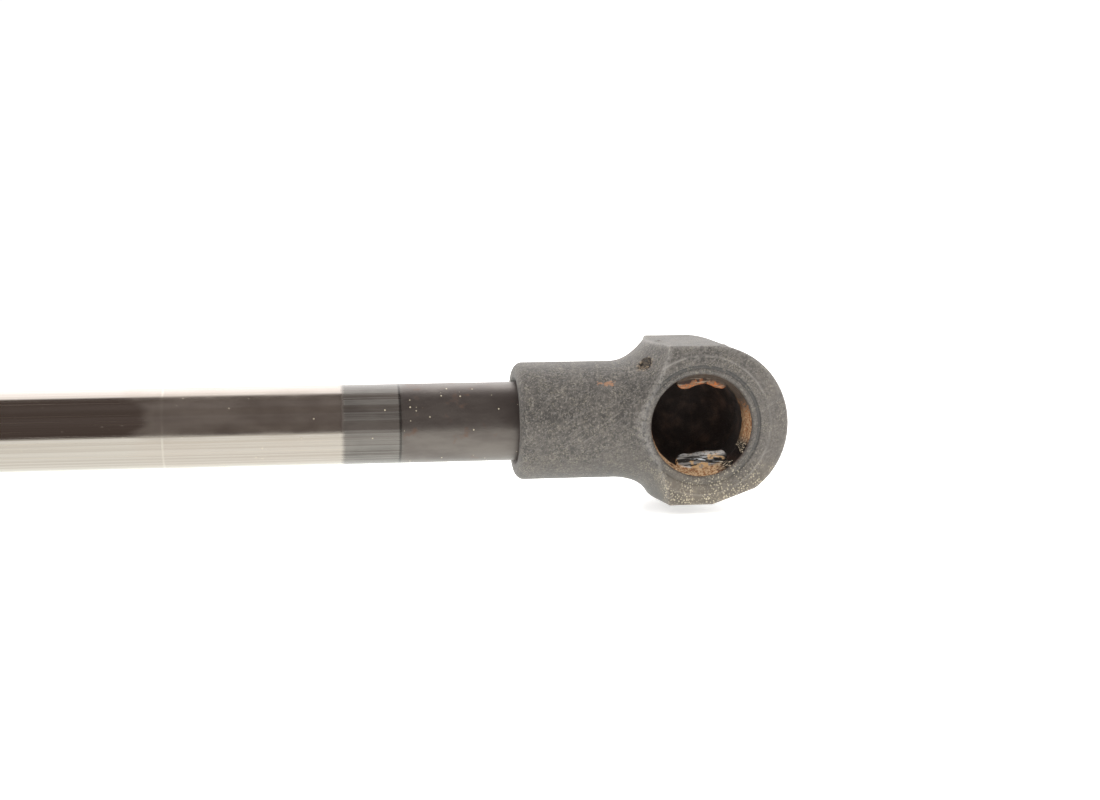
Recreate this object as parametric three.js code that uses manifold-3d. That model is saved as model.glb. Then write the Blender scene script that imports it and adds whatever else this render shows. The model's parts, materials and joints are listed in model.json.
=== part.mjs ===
// Gas strut stay: a pressurised tube with a sliding rod, and a push-fit ball socket at each end.
// Millimetres, +Z up. The strut lies along X with its rod fully out towards +X.
// The origin is on the strut's axis, midway between the two ball centres. Both socket mouths face -Y.
import * as THREE from "three";
import { mergeVertices } from "three/addons/utils/BufferGeometryUtils.js";
import Module from "manifold-3d";

const wasm = await Module();
wasm.setup();

// ---- Driving dimensions ----
const BALL_CENTRES = 395; // ball centre to ball centre with the rod fully out
const STROKE = 150;
const ROD_STUB = 12; // rod left outside the tube when the strut is shut
const ROD_R = 4;
const ROD_EDGE = 0.3;
const RELIEF_LENGTH = 1.5; // plain neck between the rod's shoulder and its thread
const TUBE_R = 9;
const TUBE_WALL = 1;
const BALL_R = 5; // the ball stud that each socket takes
const SOCKET_REACH = 18; // ball centre to the socket's base face
const HEAD_R = 8; // rounded nose, and half the height between the head's flats
const NOSE_SHIFT = 0.85; // the nose is centred this far past the ball
const HEAD_FRONT = 6.5; // ball centre to the mouth face
const HEAD_BACK = 6; // ball centre to the back face
const NECK_R = 5.95;
const THREAD_R = 3; // M6, as a plain cylinder
const THREAD_EDGE = 0.5;
const FIT = 0.1; // radial play between nested round pieces
const GAP = 0.1; // play between faces that meet end to end

// ---- Smoothness ----
const SIDES = 28; // facets of a turned piece
const ARC_STEPS = 4;

// ---- Places along X ----
const ROD_BALL_X = BALL_CENTRES / 2;
const CYLINDER_BALL_X = -ROD_BALL_X;
const ROD_SHOULDER_X = ROD_BALL_X - SOCKET_REACH;
const TUBE_MOUTH_X = ROD_SHOULDER_X - STROKE - ROD_STUB;
const TUBE_FOOT_X = CYLINDER_BALL_X + SOCKET_REACH + 2 * GAP;

// ---- Tube ----
const BORE_R = TUBE_R - TUBE_WALL;
const LIP_R = 6; // opening left by each rolled-in end
const LIP_FILLET = 2;
const BEAD_DEPTH = 1; // rolled groove that holds the guide pack and stops the piston
const BEAD_HALF = 1.1;
const BEAD_X = TUBE_MOUTH_X - 17.1; // just behind the seal's support washer
const PACK_R = BORE_R - FIT; // outer radius of what sits in the tube

// ---- Guide pack, lengths from the rolled lip inwards ----
const RETAINER_X = TUBE_MOUTH_X - TUBE_WALL - GAP;
const RETAINER_LENGTH = 0.8;
const GUIDE_START_X = RETAINER_X - RETAINER_LENGTH - GAP;
const GUIDE_LENGTH = 7.2;
const WIPER_SEAT_DEPTH = 2.4;
const WIPER_R = 5.8;
const WIPER_LIP = 0.3;
const WIPER_COLLAR_R = ROD_R + 1;
const GUIDE_EDGE = 0.4;
const SEAL = { length: 5, lip: 0.7, root: 1.4, grooveDepth: 2.6 };
const SUPPORT_LENGTH = 1.4;
const ROD_HOLE_R = ROD_R + FIT;

// ---- Piston ----
const PISTON_START_X = BEAD_X - BEAD_HALF - 0.5;
const JOURNAL_R = 2.9; // reduced end of the rod that carries the piston
const STOP_WASHER = { length: 1, r: 7.4 };
const PISTON = { length: 7, r: 7.75, edge: 0.5, grooveR: 6.3, grooveLength: 2.4 };
const FLOW_HOLES = { count: 4, r: 0.6, centreR: 4.6, sides: 10 };
const VALVE_DISC = { length: 0.6, r: 6.6 };
const BASE_WASHER = { length: 1.2, r: 5.6 };
const RIVET = { length: 1.4, r: 3.7, edge: 0.7 };

// ---- Socket ----
const FLARE_START = -8.2; // where the neck begins to widen, from the ball centre
const FLARE_R = 4.9;
const FLARE_TURN = 78; // degrees
const BLANK_R = 10.7; // radius the flare grows to before the head's outline trims it
const NECK_EDGE = 0.9;
const HEAD_EDGE = 0.4;
const COLLAR_DEPTH = 0.8; // the rod's shoulder sits this deep in the neck
const COLLAR_R = ROD_R + 0.15;
const INSERT_R = 4.1;
const INSERT_LENGTH = 9.7;
const INSERT_WAIST = { half: 1.2, depth: 0.4 };
const THREAD_LENGTH = 9.2;
const SEAT_R = BALL_R + 0.1;
const MOUTH_CHAMFER = 0.2;
const CLIP_WALL = 0.5;
const CLIP_R = 5.15; // inside of the clip's band at its front edge
const CLIP_THROAT_R = 4.7; // and where it has narrowed at its lugs
const CLIP_GROOVE_R = CLIP_R + CLIP_WALL + FIT;
const CLIP_GROOVE_FRONT = -6;
const CLIP_GROOVE_BACK = -3.3;
const LUG = { halfWidth: 2.65, innerR: 3.05, front: -4.65, thickness: 0.6 };
const CLIP_SPLIT = [-54, -28]; // degrees, the open stretch of the band

const radians = THREE.MathUtils.degToRad;

// ---- Materials ----
const material = (color, roughness, metalness) =>
  new THREE.MeshStandardMaterial({ color, roughness, metalness });
const nylon = material(0x3a3a39, 0.62, 0);
const nitridedSteel = material(0x4a4340, 0.16, 1);
const blackPaint = material(0x151516, 0.35, 0.1);
const springSteel = material(0x8a6a48, 0.55, 0.8);
const plainSteel = material(0x9a9a98, 0.35, 1);
const brass = material(0xb08d4a, 0.35, 1);
const zinc = material(0x8f9294, 0.45, 0.9);
const rubber = material(0x1a1a1a, 0.8, 0);
const acetal = material(0xd9d4c6, 0.5, 0);

// ---- Shape helpers ----

// Points on a circle arc in the (x, r) half plane, angles in degrees.
function arc(x, r, radius, from, to, steps = ARC_STEPS) {
  return Array.from({ length: steps + 1 }, (_, i) => {
    const a = radians(from + ((to - from) * i) / steps);
    return [x + radius * Math.cos(a), r + radius * Math.sin(a)];
  });
}

// A rolled groove: a smooth dip of the given depth, from x - half to x + half.
function dip(x, half, r, depth) {
  return Array.from({ length: ARC_STEPS + 1 }, (_, i) => {
    const t = -1 + (2 * i) / ARC_STEPS;
    return [x + half * t, r - (depth * (1 + Math.cos(Math.PI * t))) / 2];
  });
}

// A solid turned about X, with a flat facet underneath for the strut to lie on.
// The profile runs outwards at low x, then along the outside towards +X.
function turned(profile) {
  const points = profile.map(([x, r]) => new THREE.Vector2(r, x));
  if (profile[0][1] > 0) points.push(points[0].clone());
  return new THREE.LatheGeometry(points, SIDES, Math.PI / SIDES).rotateZ(-Math.PI / 2);
}

// A plain ring or disc between two x values.
const ring = (x0, x1, innerR, outerR) =>
  turned([
    [x0, innerR],
    [x0, outerR],
    [x1, outerR],
    [x1, innerR],
  ]);

// A flat shape drawn in x and z, made solid from y0 to y1, with its outer edges bevelled.
function plate(shape, y0, y1, bevel = 0, curveSegments = SIDES / 2) {
  return new THREE.ExtrudeGeometry(shape, {
    depth: y1 - y0 - 2 * bevel,
    curveSegments,
    bevelEnabled: bevel > 0,
    bevelThickness: bevel,
    bevelSize: bevel,
    bevelOffset: -bevel,
    bevelSegments: 1,
  })
    .rotateX(Math.PI / 2)
    .translate(0, y1 - bevel, 0);
}

function solid(geometry) {
  const bare = geometry.clone();
  bare.deleteAttribute("normal");
  bare.deleteAttribute("uv");
  const merged = mergeVertices(bare, 1e-4);
  return new wasm.Manifold(
    new wasm.Mesh({
      numProp: 3,
      vertProperties: merged.attributes.position.array,
      triVerts: new Uint32Array(merged.index.array),
    })
  );
}

function geometryOf(made) {
  const mesh = made.getMesh();
  return new THREE.BufferGeometry()
    .setAttribute("position", new THREE.BufferAttribute(mesh.vertProperties, 3))
    .setIndex(new THREE.BufferAttribute(mesh.triVerts, 1));
}

const strut = new THREE.Group();

function add(parent, name, geometry, finish) {
  if (!geometry.getAttribute("normal")) geometry.computeVertexNormals();
  const mesh = new THREE.Mesh(geometry, finish);
  mesh.name = name;
  parent.add(mesh);
}

// ---- Cylinder ----

// Tube with both ends rolled in and a groove that stops the guide pack and the piston.
function pressureTube() {
  const innerFillet = LIP_FILLET - TUBE_WALL;
  const outside = [
    ...arc(TUBE_FOOT_X + LIP_FILLET, TUBE_R - LIP_FILLET, LIP_FILLET, 180, 90),
    ...dip(BEAD_X, BEAD_HALF + TUBE_WALL / 2, TUBE_R, BEAD_DEPTH),
    ...arc(TUBE_MOUTH_X - LIP_FILLET, TUBE_R - LIP_FILLET, LIP_FILLET, 90, 0),
  ];
  const inside = [
    ...arc(TUBE_FOOT_X + LIP_FILLET, BORE_R - innerFillet, innerFillet, 180, 90),
    ...dip(BEAD_X, BEAD_HALF, BORE_R, BEAD_DEPTH),
    ...arc(TUBE_MOUTH_X - LIP_FILLET, BORE_R - innerFillet, innerFillet, 90, 0),
  ];
  return turned([
    [TUBE_FOOT_X, LIP_R],
    ...outside,
    [TUBE_MOUTH_X, LIP_R],
    [TUBE_MOUTH_X - TUBE_WALL, LIP_R],
    ...inside.reverse(),
    [TUBE_FOOT_X + TUBE_WALL, LIP_R],
  ]);
}

const PLUG_X = TUBE_FOOT_X + TUBE_WALL + GAP;
const PLUG_LENGTH = 9;
const PLUG_EDGE = 1.1; // clears the tube's rolled-in corner
const O_RING = { innerR: 6.5, length: 2.2, grooveLength: 2.6 };
const O_RING_X = PLUG_X + (PLUG_LENGTH + PLUG_EDGE) / 2;

// Plug that closes the tube's foot, with the threaded stud that carries the socket.
function basePlug() {
  const shoulderX = CYLINDER_BALL_X + SOCKET_REACH - COLLAR_DEPTH + GAP;
  const grooveHalf = O_RING.grooveLength / 2;
  return turned([
    [shoulderX - THREAD_LENGTH, 0],
    [shoulderX - THREAD_LENGTH, THREAD_R - THREAD_EDGE],
    [shoulderX - THREAD_LENGTH + THREAD_EDGE, THREAD_R],
    [shoulderX, THREAD_R],
    [shoulderX, ROD_R],
    [PLUG_X, ROD_R],
    [PLUG_X, PACK_R - PLUG_EDGE],
    [PLUG_X + PLUG_EDGE, PACK_R],
    [O_RING_X - grooveHalf, PACK_R],
    [O_RING_X - grooveHalf, O_RING.innerR - FIT],
    [O_RING_X + grooveHalf, O_RING.innerR - FIT],
    [O_RING_X + grooveHalf, PACK_R],
    [PLUG_X + PLUG_LENGTH - GUIDE_EDGE, PACK_R],
    [PLUG_X + PLUG_LENGTH, PACK_R - GUIDE_EDGE],
    [PLUG_X + PLUG_LENGTH, 0],
  ]);
}

// Rubber ring of near-round section, squeezed flat on its outside against the bore.
function sealingRing(x, length, innerR, outerR) {
  const half = length / 2;
  const edge = 0.3 * Math.min(length, outerR - innerR);
  return turned([
    [x - half + edge, innerR],
    [x - half, innerR + edge],
    [x - half, outerR - edge],
    [x - half + edge, outerR],
    [x + half - edge, outerR],
    [x + half, outerR - edge],
    [x + half, innerR + edge],
    [x + half - edge, innerR],
  ]);
}

const GUIDE_END_X = GUIDE_START_X - GUIDE_LENGTH;
const WIPER_SEAT_X = GUIDE_START_X - WIPER_SEAT_DEPTH;
const SEAL_END_X = GUIDE_END_X - GAP - SEAL.length;
const SUPPORT_X = SEAL_END_X - GAP;

// Bush that guides the rod, with a seat for the wiper in its outer face.
const rodGuide = () =>
  turned([
    [GUIDE_END_X, ROD_HOLE_R],
    [GUIDE_END_X, PACK_R - GUIDE_EDGE],
    [GUIDE_END_X + GUIDE_EDGE, PACK_R],
    [GUIDE_START_X - GUIDE_EDGE, PACK_R],
    [GUIDE_START_X, PACK_R - GUIDE_EDGE],
    [GUIDE_START_X, WIPER_R + FIT],
    [WIPER_SEAT_X, WIPER_R + FIT],
    [WIPER_SEAT_X, ROD_HOLE_R],
  ]);

// Wiper with a lip that leans out towards the rod.
const dustWiper = () =>
  turned([
    [WIPER_SEAT_X + GAP, ROD_HOLE_R + WIPER_LIP],
    [WIPER_SEAT_X + GAP, WIPER_R],
    [GUIDE_START_X, WIPER_R],
    [TUBE_MOUTH_X - TUBE_WALL, WIPER_R - WIPER_LIP],
    [TUBE_MOUTH_X - TUBE_WALL, WIPER_COLLAR_R],
    [TUBE_MOUTH_X - GAP, ROD_HOLE_R + WIPER_LIP],
    [TUBE_MOUTH_X - GAP, ROD_HOLE_R],
    [TUBE_MOUTH_X - TUBE_WALL, ROD_HOLE_R],
  ]);

// Lip seal: a U-shaped section that opens towards the gas.
const rodSeal = () =>
  turned([
    [SEAL_END_X, ROD_HOLE_R],
    [SEAL_END_X, ROD_HOLE_R + SEAL.lip],
    [SEAL_END_X + SEAL.grooveDepth, ROD_HOLE_R + SEAL.root],
    [SEAL_END_X + SEAL.grooveDepth, PACK_R - SEAL.root],
    [SEAL_END_X, PACK_R - SEAL.lip],
    [SEAL_END_X, PACK_R],
    [SEAL_END_X + SEAL.length, PACK_R],
    [SEAL_END_X + SEAL.length, ROD_HOLE_R + SEAL.lip],
    [SEAL_END_X + SEAL.length - SEAL.lip, ROD_HOLE_R],
  ]);

// ---- Rod and piston ----

const STOP_X = PISTON_START_X - STOP_WASHER.length;
const PISTON_X = STOP_X - GAP - PISTON.length;
const VALVE_X = PISTON_X - GAP - VALVE_DISC.length;
const BASE_X = VALVE_X - GAP - BASE_WASHER.length;
const RIVET_X = BASE_X - GAP - RIVET.length;
const RING_X = PISTON_X + PISTON.length / 2;

// Rod with the journal and riveted head that hold the piston, and the socket's thread.
function pistonRod() {
  const shoulder = ROD_SHOULDER_X + COLLAR_DEPTH - GAP;
  const tip = shoulder + THREAD_LENGTH;
  return turned([
    [RIVET_X, 0],
    [RIVET_X, RIVET.r - RIVET.edge],
    [RIVET_X + RIVET.edge, RIVET.r],
    [BASE_X - GAP, RIVET.r],
    [BASE_X - GAP, JOURNAL_R],
    [PISTON_START_X + GAP, JOURNAL_R],
    [PISTON_START_X + GAP, ROD_R],
    [shoulder - ROD_EDGE, ROD_R],
    [shoulder, ROD_R - ROD_EDGE],
    [shoulder, THREAD_R - THREAD_EDGE],
    [shoulder + RELIEF_LENGTH - THREAD_EDGE, THREAD_R - THREAD_EDGE],
    [shoulder + RELIEF_LENGTH, THREAD_R],
    [tip - THREAD_EDGE, THREAD_R],
    [tip, THREAD_R - THREAD_EDGE],
    [tip, 0],
  ]);
}

// Piston body: a groove for its ring, and small holes that let the gas past.
function pistonBody() {
  const grooveHalf = PISTON.grooveLength / 2;
  const blank = turned([
    [PISTON_X, JOURNAL_R + FIT],
    [PISTON_X, PISTON.r - PISTON.edge],
    [PISTON_X + PISTON.edge, PISTON.r],
    [RING_X - grooveHalf, PISTON.r],
    [RING_X - grooveHalf, PISTON.grooveR],
    [RING_X + grooveHalf, PISTON.grooveR],
    [RING_X + grooveHalf, PISTON.r],
    [PISTON_X + PISTON.length - PISTON.edge, PISTON.r],
    [PISTON_X + PISTON.length, PISTON.r - PISTON.edge],
    [PISTON_X + PISTON.length, JOURNAL_R + FIT],
  ]);
  let body = solid(blank);
  const { count, r, centreR, sides } = FLOW_HOLES;
  for (let i = 0; i < count; i++) {
    const angle = (2 * Math.PI * (i + 0.5)) / count;
    const hole = new THREE.CylinderGeometry(r, r, PISTON.length + 2, sides)
      .rotateZ(-Math.PI / 2)
      .translate(RING_X, centreR * Math.cos(angle), centreR * Math.sin(angle));
    body = body.subtract(solid(hole));
  }
  return geometryOf(body);
}

// ---- Ball socket: drawn with its ball centre at the origin and its neck towards -X ----

// Neck and flare turned about the strut's axis, trimmed to the head's flat-sided outline.
function socketHousing() {
  const flare = arc(FLARE_START, NECK_R + FLARE_R, FLARE_R, -90, -90 + FLARE_TURN, 2 * ARC_STEPS);
  const [flareX, flareR] = flare.at(-1);
  const slopeEndX = flareX + (BLANK_R - flareR) / Math.tan(radians(FLARE_TURN));
  const blank = turned([
    [-SOCKET_REACH, 0],
    ...arc(-SOCKET_REACH + NECK_EDGE, NECK_R - NECK_EDGE, NECK_EDGE, 180, 90),
    ...flare,
    [slopeEndX, BLANK_R],
    [HEAD_R + NOSE_SHIFT + 1, BLANK_R],
    [HEAD_R + NOSE_SHIFT + 1, 0],
  ]);

  const outline = new THREE.Shape()
    .moveTo(-SOCKET_REACH - 1, -HEAD_R)
    .lineTo(NOSE_SHIFT, -HEAD_R)
    .absarc(NOSE_SHIFT, 0, HEAD_R, -Math.PI / 2, Math.PI / 2)
    .lineTo(-SOCKET_REACH - 1, HEAD_R);
  const head = plate(outline, -HEAD_FRONT, HEAD_BACK, HEAD_EDGE);

  // Ball seat with the clip's groove, turned about the ball axis.
  const seat = arc(0, 0, SEAT_R, 0, 90, 2 * ARC_STEPS).map(([r, y]) => new THREE.Vector2(r, y));
  seat[seat.length - 1].x = 0;
  const cavity = new THREE.LatheGeometry(
    [
      new THREE.Vector2(0, -HEAD_FRONT - 1),
      new THREE.Vector2(SEAT_R + MOUTH_CHAMFER + 1, -HEAD_FRONT - 1),
      new THREE.Vector2(SEAT_R, -HEAD_FRONT + MOUTH_CHAMFER),
      new THREE.Vector2(SEAT_R, CLIP_GROOVE_FRONT),
      new THREE.Vector2(CLIP_GROOVE_R, CLIP_GROOVE_FRONT),
      new THREE.Vector2(CLIP_GROOVE_R, CLIP_GROOVE_BACK),
      new THREE.Vector2(SEAT_R, CLIP_GROOVE_BACK),
      ...seat,
    ],
    SIDES
  );

  const boreEnd = -SOCKET_REACH + COLLAR_DEPTH + INSERT_LENGTH + GAP;
  const bore = turned([
    [-SOCKET_REACH - 1, 0],
    [-SOCKET_REACH - 1, COLLAR_R],
    [-SOCKET_REACH + COLLAR_DEPTH, COLLAR_R],
    [-SOCKET_REACH + COLLAR_DEPTH, INSERT_R + FIT],
    [boreEnd, INSERT_R + FIT],
    [boreEnd, 0],
  ]);
  return geometryOf(
    solid(blank).intersect(solid(head)).subtract(solid(cavity)).subtract(solid(bore))
  );
}

// Threaded insert moulded into the neck, with a groove that the nylon grips.
function threadInsert() {
  const x0 = -SOCKET_REACH + COLLAR_DEPTH + GAP / 2;
  const x1 = x0 + INSERT_LENGTH;
  const middle = (x0 + x1) / 2;
  return turned([
    [x0, THREAD_R + FIT],
    [x0, INSERT_R],
    [middle - INSERT_WAIST.half, INSERT_R],
    [middle - INSERT_WAIST.half + INSERT_WAIST.depth, INSERT_R - INSERT_WAIST.depth],
    [middle + INSERT_WAIST.half - INSERT_WAIST.depth, INSERT_R - INSERT_WAIST.depth],
    [middle + INSERT_WAIST.half, INSERT_R],
    [x1, INSERT_R],
    [x1, THREAD_R + FIT],
  ]);
}

// Spring clip: a split, funnel-shaped band in the groove, with two lugs that hold the ball in.
function retainingClip() {
  const front = CLIP_GROOVE_FRONT + GAP;
  const back = CLIP_GROOVE_BACK - GAP;
  const band = new THREE.LatheGeometry(
    [
      new THREE.Vector2(CLIP_R, front),
      new THREE.Vector2(CLIP_R + CLIP_WALL, front),
      new THREE.Vector2(CLIP_THROAT_R + CLIP_WALL, LUG.front),
      new THREE.Vector2(CLIP_THROAT_R + CLIP_WALL, back),
      new THREE.Vector2(CLIP_THROAT_R, back),
      new THREE.Vector2(CLIP_THROAT_R, LUG.front),
      new THREE.Vector2(CLIP_R, front),
    ],
    SIDES
  );
  const [from, to] = CLIP_SPLIT.map(radians);
  const wedge = new THREE.Shape()
    .lineTo(HEAD_R * Math.cos(from), HEAD_R * Math.sin(from))
    .lineTo(HEAD_R * Math.cos(to), HEAD_R * Math.sin(to));
  let clip = solid(band).subtract(solid(plate(wedge, front - 1, back + 1)));

  const rootR = CLIP_THROAT_R + CLIP_WALL / 2;
  const halfAngle = Math.asin(LUG.halfWidth / rootR);
  for (const side of [-1, 1]) {
    const middle = (side * Math.PI) / 2;
    const lug = new THREE.Shape()
      .absarc(0, 0, rootR, middle + halfAngle, middle - halfAngle, true)
      .lineTo(side * LUG.halfWidth, side * LUG.innerR)
      .lineTo(side * -LUG.halfWidth, side * LUG.innerR);
    clip = clip.add(solid(plate(lug, LUG.front, LUG.front + LUG.thickness, 0, ARC_STEPS)));
  }
  return geometryOf(clip);
}

function socket(prefix, x, turn) {
  const group = new THREE.Group();
  group.position.x = x;
  group.rotation.y = turn;
  add(group, prefix + "_socket_housing", socketHousing(), nylon);
  add(group, prefix + "_socket_thread_insert", threadInsert(), brass);
  add(group, prefix + "_socket_retaining_clip", retainingClip(), springSteel);
  return group;
}

// ---- Assembly ----
add(strut, "pressure_tube", pressureTube(), blackPaint);
add(strut, "base_plug", basePlug(), plainSteel);
add(
  strut,
  "base_plug_o_ring",
  sealingRing(O_RING_X, O_RING.length, O_RING.innerR, PACK_R),
  rubber
);
add(
  strut,
  "guide_retaining_washer",
  ring(RETAINER_X - RETAINER_LENGTH, RETAINER_X, LIP_R, PACK_R - PLUG_EDGE),
  plainSteel
);
add(strut, "rod_guide_bush", rodGuide(), acetal);
add(strut, "dust_wiper", dustWiper(), rubber);
add(strut, "rod_lip_seal", rodSeal(), rubber);
add(
  strut,
  "seal_support_washer",
  ring(SUPPORT_X - SUPPORT_LENGTH, SUPPORT_X, ROD_HOLE_R + 0.1, PACK_R),
  plainSteel
);
strut.add(socket("cylinder", CYLINDER_BALL_X, Math.PI));

add(
  strut,
  "piston_ring",
  sealingRing(RING_X, PISTON.grooveLength - 2 * GAP, PISTON.grooveR + FIT, PACK_R),
  rubber
);

add(strut, "piston_rod", pistonRod(), nitridedSteel);
const collar = JOURNAL_R + FIT;
add(
  strut,
  "piston_stop_washer",
  ring(STOP_X, PISTON_START_X, collar, STOP_WASHER.r),
  plainSteel
);
add(strut, "piston_body", pistonBody(), zinc);
add(
  strut,
  "piston_valve_disc",
  ring(VALVE_X, VALVE_X + VALVE_DISC.length, collar, VALVE_DISC.r),
  springSteel
);
add(
  strut,
  "piston_base_washer",
  ring(BASE_X, BASE_X + BASE_WASHER.length, collar, BASE_WASHER.r),
  plainSteel
);
strut.add(socket("rod", ROD_BALL_X, 0));

export default strut;
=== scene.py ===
"""Gas strut stay: the visible pieces, materials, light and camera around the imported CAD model.

Shapes are worked out in millimetres and become metres in add_mesh(). A turned piece is a profile of
(x, radius) points about X. A ball socket is drawn with its ball centre at the origin, its neck
towards -X and its mouth towards -Y, and is then placed at either end of the strut.
"""
import cmath
import json
from functools import partial, reduce
from math import ceil, cos, pi, radians, sin, sqrt, tan

import bmesh
import bpy
import numpy as np
from mathutils import Matrix, Vector


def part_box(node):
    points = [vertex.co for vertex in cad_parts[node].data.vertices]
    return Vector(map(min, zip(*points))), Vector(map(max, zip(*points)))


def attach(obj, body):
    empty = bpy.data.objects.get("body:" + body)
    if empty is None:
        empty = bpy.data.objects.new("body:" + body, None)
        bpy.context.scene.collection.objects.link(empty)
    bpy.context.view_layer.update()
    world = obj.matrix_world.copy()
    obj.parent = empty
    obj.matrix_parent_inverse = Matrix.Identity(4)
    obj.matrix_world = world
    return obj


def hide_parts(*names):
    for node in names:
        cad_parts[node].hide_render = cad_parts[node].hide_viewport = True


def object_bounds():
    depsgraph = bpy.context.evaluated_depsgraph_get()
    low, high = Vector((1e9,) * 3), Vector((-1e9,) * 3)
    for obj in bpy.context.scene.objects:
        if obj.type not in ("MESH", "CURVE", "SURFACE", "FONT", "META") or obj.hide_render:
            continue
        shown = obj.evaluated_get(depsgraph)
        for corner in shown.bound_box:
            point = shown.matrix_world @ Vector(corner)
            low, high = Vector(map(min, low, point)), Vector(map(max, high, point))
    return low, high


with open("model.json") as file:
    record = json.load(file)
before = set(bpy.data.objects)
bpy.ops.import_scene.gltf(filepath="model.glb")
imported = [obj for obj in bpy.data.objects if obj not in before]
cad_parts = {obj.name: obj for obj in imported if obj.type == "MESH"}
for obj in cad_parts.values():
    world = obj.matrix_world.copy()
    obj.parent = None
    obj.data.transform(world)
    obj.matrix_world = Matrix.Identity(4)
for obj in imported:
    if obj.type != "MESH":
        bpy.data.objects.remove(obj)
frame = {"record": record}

cad_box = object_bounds()
scene = bpy.context.scene
MM = 0.001
SAME_PLACE = 1e-7  # metres: vertices this close together are merged
SHARP_EDGE = radians(50)

# ---- Ball socket, as in the CAD model ----
HEAD_R = 8.0
NOSE_SHIFT = 0.85
HEAD_FRONT = 6.5
HEAD_BACK = 6.0
HEAD_EDGE = 0.3
SOCKET_REACH = 18.0
NECK_R = 5.95
NECK_EDGE = 0.9
FLARE_START = -8.2
FLARE_R = 4.9
FLARE_TURN = radians(78)
FLARE_EDGE = 0.18
SEAT_R = 5.1
MOUTH_CHAMFER = 0.25
GROOVE_R = 5.75
GROOVE_FRONT = -6.0
GROOVE_BACK = -3.3
HOLLOW_EDGE = 0.1
COLLAR_DEPTH = 0.8
COLLAR_R = 4.15
BORE_R = 4.2
BORE_END = -7.4
BORE_LEAD_IN = 0.3
HOUSING_LUMPS = 0.012  # half the depth of its uneven skin
HOUSING_STEP = 0.16  # mesh size

# ---- Wear on the socket housings ----
WORN_FLAT = {"angle": radians(-71), "distance": 7.66}
FLARE_RISE = 0.34  # how far the worn housing's flare is bent up
FLARE_BEND = (-4.6, 1.8)  # where along X it is bent, and over what half length
FACE_RINGS = ((5.85, 0.2, 0.1), (6.95, 0.12, -0.03))  # radius, half width and depth on the mouth face
PIT = {"centre": (-5.4, -3.95, 6.0), "size": (0.95, 0.8, 0.68), "roughness": 0.2}
BURRS = ((-3.3, -1.5, 7.9), (2.4, -5.2, 7.75))
BURR_HEIGHT = 0.16
BURR_HALF_WIDTH = 0.45
RUST_SPOT = {"centre": (-9.15, -4.2, 4.1), "size": (0.85, 0.5, 0.26)}

# ---- Retaining clip. Its throat is wider and its split narrower than in the CAD model. ----
CLIP_FRONT = -5.9
CLIP_BACK = -3.4
CLIP_R = 5.15
CLIP_THROAT_R = 4.82
CLIP_WALL = 0.5
CLIP_EDGE = 0.12
CLIP_SPLIT = (radians(-51), radians(-32))
LUG_Y = -4.35
FUNNEL_END = LUG_Y - 0.3  # the band narrows from its front as far as here
LUG_HALF_WIDTH = 2.6
LUG_INNER = 3.05
LUG_HALF_THICKNESS = 0.27
LUG_SHIFT = 0.45  # the lugs stand this far off the ball axis, towards the nose
LUG_CORNER = 0.6
LUG_EDGE = 0.22
CLIP_STEP = 0.085

# ---- Threads and the threaded insert ----
PITCH = 1.0  # M6
CREST_R = 2.97
ROOT_R = 2.42
NUT_CREST_R = 2.52
NUT_ROOT_R = 3.1
THREAD_LENGTH = 9.2
THREAD_STEP = 0.08
RELIEF_R = 2.4
THREAD_RUNOUT = 0.7
INSERT_GAP = 0.05
INSERT_LENGTH = 9.7
INSERT_R = 4.05
INSERT_WAIST_R = 3.65
KNURL_DEPTH = 0.16
KNURL_COUNT = 18

# ---- Cylinder, rod and piston ----
TUBE_WALL = 1.0
LIP_R = 6.0
LIP_FILLET = 2.0
BEAD_FROM_MOUTH = 17.1
BEAD_HALF = 1.1
BEAD_DEPTH = 1.0
STUD_SHOULDER_R = 3.97
PLUG_RIM = 1.1
PLUG_GROOVE_R = 6.4
O_RING_INNER_R = 6.5
PISTON_GROOVE_R = 6.3
PISTON_RING_INNER_R = 6.4
ROD_HOLE_R = 4.1
SUPPORT_HOLE_R = 4.2
WIPER_SEAT_R = 5.9
WIPER_SEAT_DEPTH = 2.4
WIPER_LIP = 0.9
SEAL_LIP = 0.7
SEAL_GROOVE_DEPTH = 2.6
JOURNAL_R = 2.9
JOURNAL_HOLE_R = 3.0
RIVET_R = 3.68

# Where the balls' centres go, from the tips of the housings' noses
NOSE_REACH = (HEAD_R + NOSE_SHIFT) * MM
ROD_BALL = Vector((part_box("rod_socket_housing")[1].x - NOSE_REACH, 0, 0))
CYLINDER_BALL = Vector((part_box("cylinder_socket_housing")[0].x + NOSE_REACH, 0, 0))
AT_ROD_END = Matrix.Translation(ROD_BALL)
AT_CYLINDER_END = Matrix.Translation(CYLINDER_BALL)
TURNED_ROUND = AT_CYLINDER_END @ Matrix.Rotation(pi, 4, "Y")
BODY_OF = {n: body for body, nodes in frame["record"]["behaviour"]["bodies"].items() for n in nodes}


def span(node, origin=0.0):
    """Where a turned CAD node starts and ends along X, from the origin given, and its outer radius."""
    low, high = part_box(node)
    return (low.x - origin) / MM, (high.x - origin) / MM, high.z / MM


# ---- Making pieces ----


def add_mesh(name, vertices, faces):
    """An object in the scene, from vertices in millimetres and faces."""
    mesh = bpy.data.meshes.new(name)
    mesh.from_pydata((np.asarray(vertices) * MM).tolist(), [], np.asarray(faces).tolist())
    made = bpy.data.objects.new(name, mesh)
    scene.collection.objects.link(made)
    return made


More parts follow.
